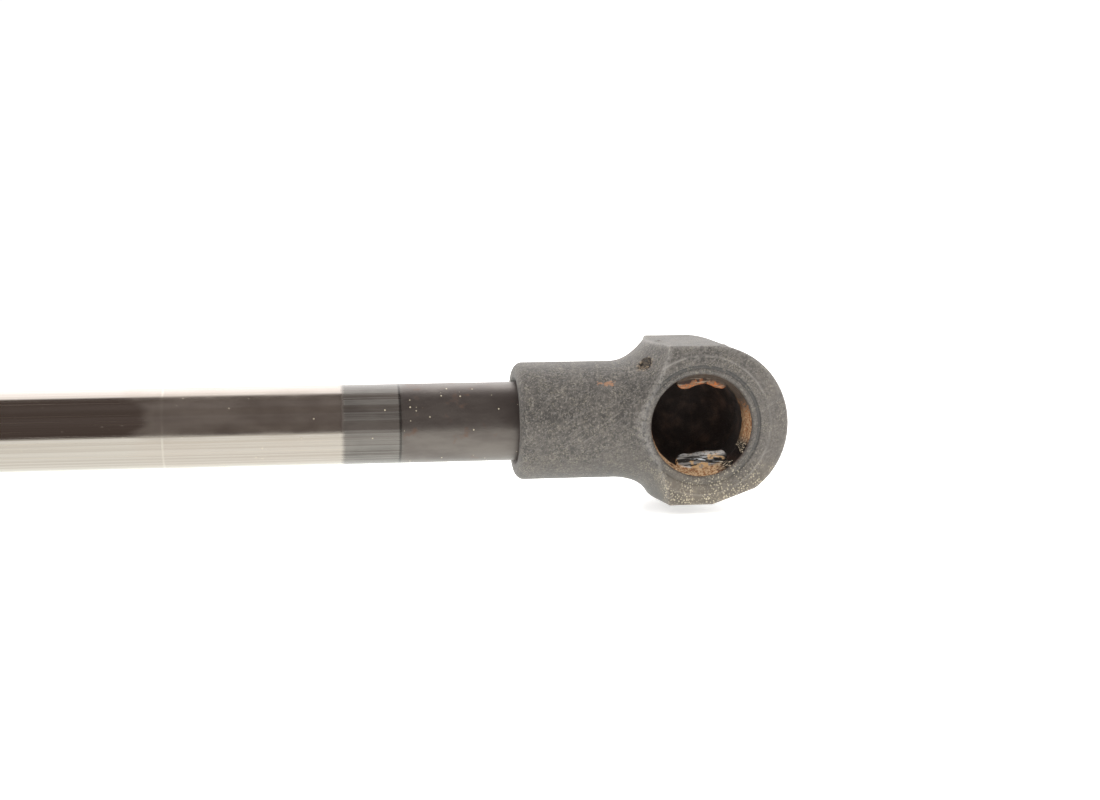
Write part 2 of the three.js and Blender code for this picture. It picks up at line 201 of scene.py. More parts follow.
def merge_seams(mesh):
    """Merges the vertices that share a place, and turns every face outwards."""
    merged = bmesh.new()
    merged.from_mesh(mesh)
    bmesh.ops.remove_doubles(merged, verts=merged.verts, dist=SAME_PLACE)
    bmesh.ops.recalc_face_normals(merged, faces=merged.faces)
    merged.to_mesh(mesh)
    merged.free()


def piece(node, shape, material, place=Matrix.Identity(4)):
    """A visible piece that stands for a CAD node and rides on its body. shape is (vertices, faces)."""
    made = add_mesh("fine_" + node, *shape)
    made.matrix_world = place
    made.data.materials.append(material)
    made.data.polygons.foreach_set("use_smooth", [True] * len(made.data.polygons))
    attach(made, BODY_OF[node])
    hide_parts(node)
    return made


def turned_piece(node, profile, material, place=Matrix.Identity(4), steps=96, relief=None):
    """A piece turned about X, with its seams merged and its flat faces kept flat in the shading."""
    made = piece(node, lathe(profile, steps, relief), material, place)
    merge_seams(made.data)
    made.data.set_sharp_from_angle(angle=SHARP_EDGE)
    normals = made.modifiers.new("flat_faces", "WEIGHTED_NORMAL")
    normals.keep_sharp = True
    return made


def rounded(points, radius=0.15, steps=4):
    """The same profile with its corners as arcs. A point may give its own radius as a third number.
    A point on the axis stays as it is."""
    count = len(points)
    result = []
    for i, (x, r, *own) in enumerate(points):
        corner = complex(x, r)
        back = complex(*points[i - 1][:2]) - corner
        ahead = complex(*points[(i + 1) % count][:2]) - corner
        turn = pi - abs(cmath.phase(ahead / back)) if abs(back) * abs(ahead) > 0 else 0
        if r == 0 or turn < 0.2:
            result.append((x, r))
            continue
        wanted = (own[0] if own else radius) * tan(turn / 2)
        trim = min(wanted, 0.45 * abs(back), 0.45 * abs(ahead))
        start = corner + back / abs(back) * trim
        end = corner + ahead / abs(ahead) * trim
        middle_weight = cos(turn / 2)
        for k in range(steps + 1):
            t = k / steps
            a, b, c = (1 - t) ** 2, 2 * t * (1 - t) * middle_weight, t * t
            point = (a * start + b * corner + c * end) / (a + b + c)
            result.append((point.real, point.imag))
    return result


def stepped(profile, longest):
    """The same profile with its long straight stretches along X divided."""
    result = [profile[0]]
    for a, b in zip(profile, profile[1:] + profile[:1]):
        parts = max(1, ceil(abs(b[0] - a[0]) / longest))
        for k in range(1, parts + 1):
            result.append((a[0] + (b[0] - a[0]) * k / parts, a[1] + (b[1] - a[1]) * k / parts))
    return result[:-1]


def lathe(profile, steps, relief=None):
    """Vertices and faces of (x, radius) points turned about X. The profile closes on itself unless
    it starts on the axis. relief(x, radius, angle) may change the radius from place to place."""
    points = np.array(profile, float)
    angle = np.arange(steps) * 2 * pi / steps
    x = np.repeat(points[:, :1], steps, 1)
    r = np.repeat(points[:, 1:], steps, 1)
    if relief:
        r = relief(x, r, np.broadcast_to(angle, x.shape))
    vertices = np.stack([x, r * np.cos(angle), r * np.sin(angle)], -1).reshape(-1, 3)
    rows = len(points)
    here = np.arange(rows if points[0, 1] > 0 else rows - 1)
    first = here[:, None] * steps + np.arange(steps)
    second = (here[:, None] + 1) % rows * steps + np.arange(steps)
    faces = np.stack([first, second, np.roll(second, -1, 1), np.roll(first, -1, 1)], -1)
    return vertices, faces.reshape(-1, 4)


def tooth(x, angle):
    """Height of the M6 thread, 0 at its root and 1 at its crest."""
    phase = (x / PITCH - angle / (2 * pi)) % 1
    return np.clip(1.6 * (1 - np.abs(2 * phase - 1)) - 0.3, 0, 1)


# ---- Solids from a distance formula ----


def lumps(points, size, seed):
    """Smooth lumpy noise from -1 to 1, with lumps of about that size."""
    table = np.random.default_rng(seed).uniform(-1, 1, (16, 16, 16))
    cell = points / size
    base = np.floor(cell).astype(int)
    t = cell - base
    t = t * t * (3 - 2 * t)
    total = np.zeros(len(points))
    for corner in np.ndindex(2, 2, 2):
        share = np.prod(np.where(corner, t, 1 - t), axis=-1)
        total += share * table[tuple(((base + corner) % 16).T)]
    return total


def overlap(a, b, edge):
    """Distance to what two solids have in common, with the edge between them rounded."""
    corner = np.hypot(np.maximum(a + edge, 0), np.maximum(b + edge, 0))
    return np.minimum(np.maximum(a, b), -edge) + corner


def slope_of(field, points, reach=0.02):
    """Gradient of a distance formula."""
    steps = np.eye(3) * reach
    return np.stack([field(points + s) - field(points - s) for s in steps], -1) / (2 * reach)


def onto(field, points, most):
    """Points moved onto the zero surface of a distance formula, by no more than the distance given."""
    slope = slope_of(field, points)
    size = np.maximum((slope**2).sum(1), 0.05)
    move = -(field(points) / size)[:, None] * slope
    length = np.maximum(np.linalg.norm(move, axis=1, keepdims=True), 1e-9)
    return points + move * np.minimum(1, most / length)


BLOCK = 4  # the formula is worked out point by point only in blocks this wide that lie near the surface


def skin(field, low, high, step):
    """Vertices and quads on the zero surface of a distance formula, one vertex in each crossed cell."""
    low = np.array(low)
    blocks = np.ceil((np.array(high) - low) / (BLOCK * step)).astype(int)
    shape = blocks * BLOCK
    middles = low + (np.stack(np.indices(blocks), -1) * BLOCK + (BLOCK - 1) / 2) * step
    value = field(middles.reshape(-1, 3)).reshape(blocks)
    for axis in range(3):
        value = np.repeat(value, BLOCK, axis)
    near = np.argwhere(np.abs(value) < BLOCK * step)
    value[tuple(near.T)] = field(low + near * step)
    inside = value < 0

    corners = list(np.ndindex(2, 2, 2))
    window = [tuple(slice(c, n - 1 + c) for c, n in zip(corner, shape)) for corner in corners]
    count = sum(inside[w].astype(int) for w in window)
    cells = np.argwhere((count > 0) & (count < 8))
    number = np.full([n - 1 for n in shape], -1)
    number[tuple(cells.T)] = np.arange(len(cells))

    values = np.stack([value[tuple((cells + c).T)] for c in corners], 1)
    total, crossings = np.zeros((len(cells), 3)), np.zeros(len(cells))
    for a, b in ((a, b) for a in range(8) for b in range(a + 1, 8)):
        if np.abs(np.subtract(corners[a], corners[b])).sum() != 1:
            continue
        crossed = (values[:, a] < 0) != (values[:, b] < 0)
        change = np.where(crossed, values[:, a] - values[:, b], 1)
        t = (values[:, a] / change)[:, None]
        place = np.array(corners[a]) + t * np.subtract(corners[b], corners[a])
        total[crossed] += place[crossed]
        crossings[crossed] += 1
    vertices = (cells + total / crossings[:, None]) * step + low

    quads = []
    for axis in range(3):
        ahead = np.eye(3, dtype=int)[axis]
        one, two = np.eye(3, dtype=int)[(axis + 1) % 3], np.eye(3, dtype=int)[(axis + 2) % 3]
        low_side = inside[tuple(slice(0, n - a) for n, a in zip(shape, ahead))]
        high_side = inside[tuple(slice(a, n) for n, a in zip(shape, ahead))]
        for starts, order in ((low_side & ~high_side, 1), (~low_side & high_side, -1)):
            at = np.argwhere(starts)
            around = [at, at - one, at - one - two, at - two][::order]
            quads.append(np.stack([number[tuple(c.T)] for c in around], 1))
    quads = np.concatenate(quads)

    for _ in range(2):
        vertices = onto(field, relaxed(vertices, quads), 0.5 * step)
    return onto(field, vertices, 0.3 * step), quads


def relaxed(vertices, quads):
    """Vertices moved half way to the middle of the faces around them."""
    middles = vertices[quads].mean(1)
    total, count = np.zeros_like(vertices), np.zeros(len(vertices))
    for k in range(4):
        np.add.at(total, quads[:, k], middles)
        np.add.at(count, quads[:, k], 1)
    return 0.5 * vertices + 0.5 * total / count[:, None]


def skinned_piece(node, field, low, high, step, material, place, marks):
    """A piece meshed from a distance formula, shaded with the formula's own normals. marks(points)
    gives the named values that its material reads at each vertex."""
    vertices, quads = skin(field, low, high, step)
    made = piece(node, (vertices, quads), material, place)
    normals = slope_of(field, vertices)
    normals /= np.linalg.norm(normals, axis=1, keepdims=True)
    made.data.normals_split_custom_set_from_vertices(normals.tolist())
    for name, values in marks(vertices).items():
        layer = made.data.attributes.new(name, "FLOAT", "POINT")
        layer.data.foreach_set("value", values.astype(np.float32))
    return made


# ---- Ball socket ----


def bell(value, middle, half):
    """1 at the middle, falling away to either side."""
    return np.exp(-(((value - middle) / half) ** 2))


def from_pit(points):
    """Distance from the middle of the ragged pit, 1 at its rim."""
    return np.linalg.norm((points - PIT["centre"]) / PIT["size"], axis=1)


def housing_surfaces(points, worn):
    """Distances to the surfaces that bound the housing: its turned blank, the head's outline, the
    two flat faces, and its hollows."""
    x, y, z = points.T
    bent = FLARE_RISE * bell(x, *FLARE_BEND) if worn else 0
    rho = np.hypot(y, z - bent)
    centre_r = NECK_R + FLARE_R
    turn = np.arctan2(x - FLARE_START, centre_r - rho)
    arc = FLARE_R - np.hypot(x - FLARE_START, rho - centre_r)
    end_x = FLARE_START + FLARE_R * sin(FLARE_TURN)
    end_r = centre_r - FLARE_R * cos(FLARE_TURN)
    slope = (end_x - x) * sin(FLARE_TURN) + (rho - end_r) * cos(FLARE_TURN)
    blank = np.where(x < FLARE_START, rho - NECK_R, np.where(turn < FLARE_TURN, arc, slope))
    blank = overlap(blank, -SOCKET_REACH - x, NECK_EDGE)

    outline = np.where(x < NOSE_SHIFT, np.abs(z), np.hypot(x - NOSE_SHIFT, z)) - HEAD_R
    if worn:
        across = (x - NOSE_SHIFT) * cos(WORN_FLAT["angle"]) + z * sin(WORN_FLAT["angle"])
        outline = np.maximum(outline, across - WORN_FLAT["distance"])

    mouth_r = np.hypot(x, z)
    front = -HEAD_FRONT - y
    for ring_r, half, depth in FACE_RINGS:
        front = front + depth * bell(mouth_r, ring_r, half)

    seat = np.where(y > 0, np.linalg.norm(points, axis=1), mouth_r) - SEAT_R
    groove_middle = (GROOVE_FRONT + GROOVE_BACK) / 2
    groove = np.maximum(mouth_r - GROOVE_R, np.abs(y - groove_middle) - (GROOVE_BACK - groove_middle))
    chamfer = (mouth_r - SEAT_R + y + HEAD_FRONT - MOUTH_CHAMFER) / sqrt(2)
    seat = np.minimum(np.minimum(seat, groove), np.maximum(chamfer, y + HEAD_FRONT - 1))

    axis_r = np.hypot(y, z)
    collar_end = -SOCKET_REACH + COLLAR_DEPTH
    bore = np.maximum(axis_r - BORE_R, np.maximum(x - BORE_END, collar_end - x))
    collar_r = COLLAR_R + np.clip(BORE_LEAD_IN - (x + SOCKET_REACH), 0, 0.5)
    bore = np.minimum(bore, np.maximum(axis_r - collar_r, x - collar_end - 0.05))
    return blank, outline, front, y - HEAD_BACK, seat, bore


def housing_field(points, worn):
    """The nylon housing. A worn one has a ragged pit in its flare and small burrs on its top edge."""
    blank, outline, front, back, seat, bore = housing_surfaces(points, worn)
    solid = overlap(overlap(outline, np.maximum(front, back), HEAD_EDGE), blank, FLARE_EDGE)
    solid = overlap(solid, -seat, HOLLOW_EDGE)
    solid = overlap(solid, -bore, HOLLOW_EDGE)
    if worn:
        rough = lumps(points, 0.35, 5)
        outside_pit = (1 - from_pit(points)) * PIT["size"][2] + PIT["roughness"] * rough
        solid = np.maximum(solid, outside_pit)
        for burr in BURRS:
            near = bell(np.linalg.norm(points - burr, axis=1), 0, BURR_HALF_WIDTH)
            solid = solid - BURR_HEIGHT * near * (1 + rough)
    return solid + HOUSING_LUMPS * (1 + lumps(points, 1.7, 3))


def housing_marks(points, worn):
    """edge: near an outer edge. seat: down in the ball seat. pit: in the ragged pit."""
    blank, outline, front, back, seat, _ = housing_surfaces(points, worn)
    outer = np.sort(np.stack([blank, outline, np.maximum(front, back)]), 0)
    edge = np.clip(1 + outer[-2] / 0.55, 0, 1)
    behind_face = np.clip((points[:, 1] + HEAD_FRONT - 0.1) / 0.3, 0, 1)
    in_seat = np.clip(1 - np.abs(seat) / 0.15, 0, 1) * behind_face
    return {"edge": edge**2, "seat": in_seat, "pit": np.clip(2.2 - 1.6 * from_pit(points), 0, 1)}


def from_split(x, z):
    """Angle from the middle of the clip's split."""
    return np.abs(np.arctan2(z, x) - sum(CLIP_SPLIT) / 2)


def clip_field(points, seed):
    """A split, funnel-shaped band with two lugs bent into the mouth, its surface lumpy with rust."""
    x, y, z = points.T
    r = np.hypot(x, z)
    uneven = 0.12 * lumps(points, 0.9, seed)

    opening = np.clip((FUNNEL_END - y) / (FUNNEL_END - CLIP_FRONT), 0, 1)
    middle = CLIP_THROAT_R + CLIP_WALL / 2 + (CLIP_R - CLIP_THROAT_R) * opening
    band = 0.95 * np.abs(r - middle) - CLIP_WALL / 2
    half_length = (CLIP_BACK - CLIP_FRONT) / 2
    ends = np.abs(y - CLIP_FRONT - half_length) - half_length
    band = overlap(band, ends - np.minimum(uneven, 0), CLIP_EDGE)
    gap = ((CLIP_SPLIT[1] - CLIP_SPLIT[0]) / 2 - from_split(x, z)) * r
    band = overlap(band, gap + 3.5 * uneven, CLIP_EDGE)

    # The lugs bend forward towards their tips. Rust has eaten waves into the upper tip.
    inward = np.clip(CLIP_THROAT_R - np.abs(z), 0, 2)
    bend = LUG_Y + 0.12 * inward**2
    lug = np.abs(y - bend) - LUG_HALF_THICKNESS
    across = np.abs(x - LUG_SHIFT) - LUG_HALF_WIDTH - 0.5 * uneven
    upper_tip = LUG_INNER + 0.6 - 0.28 * np.cos((x + 1.3) * 1.65) - 2 * uneven
    lower_tip = LUG_INNER - 0.09 * (x - LUG_SHIFT) - uneven
    tip = np.where(z > 0, upper_tip, lower_tip) - np.abs(z)
    lug = overlap(lug, overlap(across, tip, LUG_CORNER), LUG_EDGE)
    lug = np.maximum(lug, r - CLIP_THROAT_R - CLIP_WALL / 2)

    layers = lumps(points * (0.35, 1, 1), 0.24, seed + 2)
    rust = 0.035 * lumps(points, 0.45, seed + 1) + 0.035 * layers
    return np.minimum(band, lug) + rust


def clip_marks(points):
    """lug: on a lug. worn: its inner edge, rubbed bright and given a painted highlight. torn: beside the
    split in the band.
    """
    x, _, z = points.T
    on_lug = np.clip((CLIP_THROAT_R - 0.15 - np.hypot(x, z)) / 0.2, 0, 1)
    worn = on_lug * np.clip(1 - (np.abs(z) - LUG_INNER) / 0.35, 0, 1)
    past_split = from_split(x, z) - (CLIP_SPLIT[1] - CLIP_SPLIT[0]) / 2
    return {"lug": on_lug, "worn": worn, "torn": np.clip(1.6 - past_split / 0.2, 0, 1)}


def insert_profile():
    """Brass insert with its two knurled collars, threaded inside."""
    x0 = -SOCKET_REACH + COLLAR_DEPTH + INSERT_GAP
    x1 = x0 + INSERT_LENGTH
    middle = (x0 + x1) / 2
    outside = [(x0, NUT_ROOT_R), (x0, INSERT_R), (middle - 1.2, INSERT_R)]
    outside += [(middle - 0.8, INSERT_WAIST_R), (middle + 0.8, INSERT_WAIST_R)]
    outside += [(middle + 1.2, INSERT_R), (x1, INSERT_R), (x1, NUT_ROOT_R)]
    inside = [(x, NUT_ROOT_R) for x in np.arange(x1 - 0.3, x0 + 0.3, -THREAD_STEP)]
    return stepped(rounded(outside, 0.12) + inside, 0.16)


def insert_relief(x, r, angle):
    """Thread on the inside and diamond knurling on the outside."""
    x0, x1 = x.min(), x.max()
    runout = np.clip(np.minimum(x - x0 - 0.1, x1 - 0.1 - x) / 0.6, 0, 1)
    nut = NUT_ROOT_R - (NUT_ROOT_R - NUT_CREST_R) * (1 - tooth(x, angle)) * runout
    diamonds = np.abs(np.sin(KNURL_COUNT * angle + 3 * x)) * np.abs(np.sin(KNURL_COUNT * angle - 3 * x))
    knurled = r - KNURL_DEPTH * (1 - diamonds) * np.clip((r - INSERT_R + 0.1) / 0.08, 0, 1)
    return np.where(r < NUT_ROOT_R + 0.01, nut, knurled)


def socket(prefix, place, seed, worn):
    """One ball socket: its housing, threaded insert and retaining clip."""
    room = 0.6
    skinned_piece(
        prefix + "_socket_housing", lambda p: housing_field(p, worn),
        (-SOCKET_REACH - room, -HEAD_FRONT - room, -HEAD_R - room),
        (HEAD_R + NOSE_SHIFT + room, HEAD_BACK + room, HEAD_R + room), HOUSING_STEP,
        nylon(prefix, seed, worn), place, lambda p: housing_marks(p, worn),
    )
    reach = CLIP_R + CLIP_WALL + 0.3
    skinned_piece(
        prefix + "_socket_retaining_clip", lambda p: clip_field(p, seed),
        (-reach, CLIP_FRONT - 0.4, -reach), (reach, CLIP_BACK + 0.4, reach), CLIP_STEP,
        rusty_spring_steel(prefix, seed, worn), place, clip_marks,
    )
    brass = turned_metal(prefix + "_insert_brass", 0.44, 0.62, (1.0, 0.74, 0.34), 0.24, seed)
    insert = prefix + "_socket_thread_insert"
    turned_piece(insert, insert_profile(), brass, place, 144, insert_relief)


# ---- Material nodes ----


class Nodes:
    """Short names for building a node tree."""

    def put(self, target, value):
        if isinstance(value, bpy.types.NodeSocket):
            self.tree.links.new(value, target)
        else:
            target.default_value = value

    def add(self, kind, inputs=None, **settings):
        node = self.tree.nodes.new("ShaderNode" + kind)
        for name, value in settings.items():
            setattr(node, name, value)
        for name, value in (inputs or {}).items():
            self.put(node.inputs[name], value)
        return node

    def calc(self, kind, *terms):
        """A Math node, such as ADD or MULTIPLY."""
        return self.add("Math", dict(enumerate(terms)), operation=kind).outputs[0]

    def vector(self, kind, *terms):
        """A Vector Math node that gives a vector."""
        return self.add("VectorMath", dict(enumerate(terms)), operation=kind).outputs[0]

    def all_of(self, *factors):
        """The factors multiplied together."""
        return reduce(partial(self.calc, "MULTIPLY"), factors)

    def most_of(self, *values):
        return reduce(partial(self.calc, "MAXIMUM"), values)

    def total(self, *terms):
        """The sum of (value, weight) terms."""
        weighted = [value if weight == 1 else self.calc("MULTIPLY", value, weight) for value, weight in terms]
        return reduce(partial(self.calc, "ADD"), weighted)

    def fade(self, value, start, end, low=0.0, high=1.0):
        """A smooth step from low at start to high at end. start may be above end."""
        inputs = {0: value, 1: start, 2: end, 3: low, 4: high}
        if start > end:
            inputs = {0: value, 1: end, 2: start, 3: high, 4: low}
        return self.add("MapRange", inputs, interpolation_type="SMOOTHSTEP").outputs[0]

    def spread(self, texture, low, high):
        """The usual range of a noise texture, spread from low to high."""
        return self.fade(texture, 0.3, 0.7, low, high)

    def mix(self, factor, a, b):
        """Two colours or sockets of colours."""
        return self.add("Mix", {0: factor, 6: a, 7: b}, data_type="RGBA").outputs[2]

    def layered(self, colour, *layers):
        """The colour with others laid over it in turn. Each is (colour, factors...)."""
        for top, *factors in layers:
            colour = self.mix(self.all_of(*factors), colour, top)
        return colour

    def blend(self, factor, a, b):
        """Two numbers or sockets of numbers."""
        return self.add("Mix", {0: factor, 2: a, 3: b}, data_type="FLOAT").outputs[0]


class Finish(Nodes):
    """One procedural material. Places are in millimetres in the piece's own frame, and a texture's
    scale is in features to the millimetre."""

    def __init__(self, name, sockets=None):
        self.material = bpy.data.materials.new(name)
        self.material.use_nodes = True
        self.tree = self.material.node_tree
        self.shader = self.tree.nodes["Principled BSDF"]
        for socket_name, value in (sockets or {}).items():
            self.shader.inputs[socket_name].default_value = value
        coordinates = self.add("TexCoord").outputs["Object"]
        self.place = self.vector("MULTIPLY", coordinates, (1 / MM,) * 3)
        self.x, self.y, self.z = self.add("SeparateXYZ", {0: self.place}).outputs

    def hypot(self, a, b):
        squares = [self.calc("MULTIPLY", value, value) for value in (a, b)]
        return self.calc("SQRT", self.calc("ADD", *squares))

    def noise(self, scale, detail, stretch=None, turn=(0, 0, 0), seed=0, where=None, **settings):
        """A noise texture of the place, which may first be turned and then scaled along each axis.
        settings are its roughness and distortion."""
        where = where or self.place
        if stretch:
            spun = self.add("Mapping", {"Vector": where, "Rotation": turn}).outputs[0]
            where = self.add("Mapping", {"Vector": spun, "Scale": stretch}).outputs[0]
        inputs = {"Scale": scale, "Detail": detail, "Roughness": 0.55}
        inputs |= {name.title(): value for name, value in settings.items()}
        inputs["Vector"] = self.vector("ADD", where, (seed * 7.3,) * 3)
        return self.add("TexNoise", inputs).outputs["Fac"]

    def specks(self, scale, share, size):
        """Scattered specks: 1 in the middle of one, 0 between them. share of the points have one."""
        node = self.add("TexVoronoi", {"Vector": self.place, "Scale": scale})
        random = self.add("SeparateXYZ", {0: node.outputs["Color"]}).outputs[0]
        in_speck = self.fade(node.outputs["Distance"], size, size * 0.5)
        return self.all_of(in_speck, self.fade(random, share, share - 0.02))

    def band(self, value, start, end, edge):
        """1 between start and end, fading out over the edge."""
        return self.all_of(self.fade(value, start - edge, start), self.fade(value, end + edge, end))

    def mark(self, name):
        return self.add("Attribute", attribute_name=name).outputs["Fac"]

    def spot(self, centre, size, breakup):
        """A patch about a point, with a ragged edge: 1 in the middle, 0 outside."""
        scaled = self.vector("DIVIDE", self.vector("SUBTRACT", self.place, centre), size)
        length = self.add("VectorMath", {0: scaled}, operation="LENGTH").outputs["Value"]
        return self.fade(self.calc("ADD", length, self.fade(breakup, 0.25, 0.75, -0.7, 0.7)), 1.1, 0.6)

    def finish(self, colour, roughness, height=None, depth=0.02, metallic=0.0):
        """Joins up the shader. depth is the bump's, in millimetres."""
        sockets = {"Base Color": colour, "Roughness": roughness, "Metallic": metallic}
        if height is not None:
            bump = self.add("Bump", {"Height": height, "Distance": depth * MM})
            sockets["Normal"] = bump.outputs[0]
        for name, value in sockets.items():
            self.put(self.shader.inputs[name], value)
        return self.material


def grey(value, warmth=0.0):
    """A grey, made a little warmer or cooler."""
    return (value * (1 + warmth), value, value * (1 - warmth), 1)


RUST_ORANGE = (0.46, 0.135, 0.035, 1)
RUST_BROWN = (0.10, 0.038, 0.018, 1)
# Rust red, laid on the clip band as rust with some painted shade.
SHADED_RUST_RED = (0.24, 0.09, 0.03, 1)
RUST_STAIN = (0.34, 0.17, 0.09, 1)
DARK_RUST = (0.10, 0.045, 0.022, 1)
DRIED_DIRT = (0.60, 0.42, 0.25, 1)
DIRTY_RUST = (0.30, 0.145, 0.065, 1)
CREAM_DUST = (0.62, 0.55, 0.40, 1)
DUST_HAZE = (0.27, 0.225, 0.165, 1)


def nylon(prefix, seed, worn):
    """Dark glass-filled nylon: pale fibres, scuffs, dust in the pores, and outer edges rubbed lighter with a
    painted highlight on them.
    """
    gloss = {"Specular IOR Level": 0.4, "Sheen Weight": 0.07, "Sheen Roughness": 0.5}
    m = Finish(prefix + "_glass_filled_nylon", gloss)
    cloud = m.noise(0.35, 4, seed=seed)
    grain = m.noise(2.6, 5, roughness=0.7, seed=seed + 1)
    flecks = m.noise(5.0, 3, roughness=0.6, seed=seed + 6)
    turns = ((0.2, 0.55, 0.3), (0.9, -0.7, 1.2), (0.1, 1.4, -0.4))
    streaks = [m.noise(2.2, 3, (0.45, 2.6, 2.6), turn, seed, distortion=0.3) for turn in turns]
    strands = m.most_of(*(m.fade(streak, 0.60, 0.70) for streak in streaks))
    scuffs = m.fade(m.noise(1.1, 3, (0.07, 3.5, 3.5), (0.3, 0.62, 0.1), seed=seed), 0.60, 0.68)

    on_face = m.fade(m.y, -HEAD_FRONT + 0.35, -HEAD_FRONT + 0.15)
    ring_r = m.hypot(m.x, m.z)
    pale_ring_breakup = m.fade(m.noise(0.8, 3, seed=seed + 2), 0.35, 0.6)
    ring_place = m.add("CombineXYZ", {0: m.calc("MULTIPLY", ring_r, 3.2)}).outputs[0]
    turning = m.noise(1.0, 2, where=ring_place)

    low_on_face = m.all_of(m.fade(m.z, -2.5, -7.5), m.fade(m.y, -4.0, -6.2), 1.0 if worn else 0.35)
    patches = m.fade(m.noise(0.7, 3, seed=seed + 4), 0.38, 0.62)
    fine_dust = m.all_of(m.specks(5.0, 0.75, 0.5), m.blend(low_on_face, 0.16, 1.0), patches)
    coarse_dust = m.all_of(m.specks(2.8, 0.5, 0.36), m.blend(low_on_face, 0.10, 1.0), patches)
    dust = m.most_of(fine_dust, coarse_dust)

    colour = m.layered(
        m.mix(m.fade(cloud, 0.35, 0.65), grey(0.046, 0.08), grey(0.072, 0.10)),
        (grey(0.138, 0.11), m.fade(grain, 0.40, 0.66, 0, 0.7)),
        (grey(0.23, 0.12), m.fade(flecks, 0.56, 0.68, 0, 0.6)),
        (grey(0.18, 0.1), m.fade(m.x, 1.0, 9.0, 0, 0.35)),
        (grey(0.22, 0.08), strands, 0.4),
        (grey(0.27, 0.08), scuffs, 0.22),
        # Dark ring over the groove on the mouth face: painted shade in the groove.
        (grey(0.03), on_face, m.band(ring_r, 5.72, 5.98, 0.12), 0.75),
        # A broken pale line on the raised ring at radius 6.9.
        (grey(0.3, 0.08), on_face, pale_ring_breakup, m.band(ring_r, 6.9, 7.0, 0.07), 0.4),
        (grey(0.2, 0.06), on_face, m.fade(turning, 0.45, 0.7), 0.25),
        # Outer edges lighter: partly rubbed wear, partly a painted highlight.
        (grey(0.30, 0.06), m.mark("edge"), m.fade(grain, 0.3, 0.6), 0.75),
        (DUST_HAZE, low_on_face, m.spread(cloud, 0.2, 0.5)),
        (CREAM_DUST, dust, 0.9),
    )
    if worn:
        rust = m.spot(RUST_SPOT["centre"], RUST_SPOT["size"], m.noise(3.5, 3, seed=seed + 5))
        crumbs = m.mix(m.fade(m.noise(3.5, 3), 0.45, 0.56), (0.018, 0.013, 0.01, 1), (0.34, 0.26, 0.18, 1))
        colour = m.layered(colour, (RUST_STAIN, rust, 0.75), (crumbs, m.mark("pit")))
    seat = m.mark("seat")
    grease = m.fade(m.noise(0.6, 5, seed=seed), 0.45, 0.7)
    colour = m.mix(seat, colour, m.mix(grease, (0.028, 0.017, 0.014, 1), (0.09, 0.052, 0.036, 1)))

    roughness = m.blend(seat, m.spread(grain, 0.52, 0.7), m.spread(cloud, 0.5, 0.7))
    height = m.total((strands, 0.4), (grain, 0.9), (scuffs, -0.5), (dust, 0.8))
    return m.finish(colour, roughness, height, 0.035)


